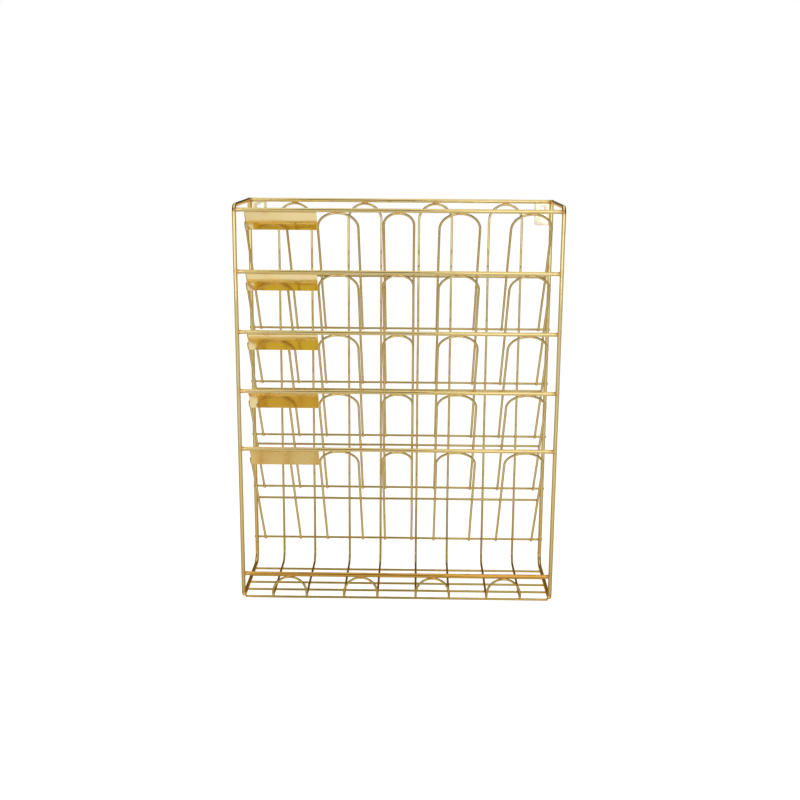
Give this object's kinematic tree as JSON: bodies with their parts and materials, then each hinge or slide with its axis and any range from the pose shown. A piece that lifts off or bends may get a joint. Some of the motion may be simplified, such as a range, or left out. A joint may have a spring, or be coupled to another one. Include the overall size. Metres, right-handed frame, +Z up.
{
  "type": "wall magazine holder",
  "caption": "Wall-hung holder of gold-plated welded wire: sloping pockets stacked over a bottom bin, a label plate on each pocket and hanging tabs with screw holes at the top corners.",
  "frame": {"origin": "on the wall plane, midway between the centres of the two hanging holes", "axes": "+X to the right of someone facing the holder, +Y into the wall, +Z up; the pockets open towards -Y"},
  "size_m": [0.321, 0.1096, 0.4031],
  "materials": {
    "plated_wire": "polished",
    "plated_sheet": "polished"
  },
  "bodies": {
    "root": {"side_loop_left": "plated_wire", "side_loop_right": "plated_wire", "top_back_rail": "plated_wire", "tray_lip_rail": "plated_wire", "front_rail_1": "plated_wire", "front_rail_2": "plated_wire", "front_rail_3": "plated_wire", "front_rail_4": "plated_wire", "front_rail_5": "plated_wire", "pocket_1_arch_1": "plated_wire", "pocket_1_arch_2": "plated_wire", "pocket_1_arch_3": "plated_wire", "pocket_1_arch_4": "plated_wire", "pocket_1_arch_5": "plated_wire", "pocket_1_mid_bar": "plated_wire", "pocket_2_arch_1": "plated_wire", "pocket_2_arch_2": "plated_wire", "pocket_2_arch_3": "plated_wire", "pocket_2_arch_4": "plated_wire", "pocket_2_arch_5": "plated_wire", "pocket_2_mid_bar": "plated_wire", "pocket_3_arch_1": "plated_wire", "pocket_3_arch_2": "plated_wire", "pocket_3_arch_3": "plated_wire", "pocket_3_arch_4": "plated_wire", "pocket_3_arch_5": "plated_wire", "pocket_3_mid_bar": "plated_wire", "pocket_4_arch_1": "plated_wire", "pocket_4_arch_2": "plated_wire", "pocket_4_arch_3": "plated_wire", "pocket_4_arch_4": "plated_wire", "pocket_4_arch_5": "plated_wire", "pocket_4_mid_bar": "plated_wire", "pocket_5_arch_1": "plated_wire", "pocket_5_arch_2": "plated_wire", "pocket_5_arch_3": "plated_wire", "pocket_5_arch_4": "plated_wire", "pocket_5_arch_5": "plated_wire", "pocket_5_mid_bar": "plated_wire", "back_bar_1": "plated_wire", "back_bar_2": "plated_wire", "back_bar_3": "plated_wire", "back_bar_4": "plated_wire", "back_bar_5": "plated_wire", "upright_loop_1": "plated_wire", "upright_loop_2": "plated_wire", "upright_loop_3": "plated_wire", "upright_loop_4": "plated_wire", "tray_bar_1": "plated_wire", "tray_bar_2": "plated_wire", "tray_bar_3": "plated_wire", "tray_bar_4": "plated_wire", "tray_bar_5": "plated_wire", "label_plate_1": "plated_sheet", "label_plate_2": "plated_sheet", "label_plate_3": "plated_sheet", "label_plate_4": "plated_sheet", "label_plate_5": "plated_sheet", "hanging_tab_left": "plated_sheet", "hanging_tab_right": "plated_sheet"}
  },
  "joints": []
}
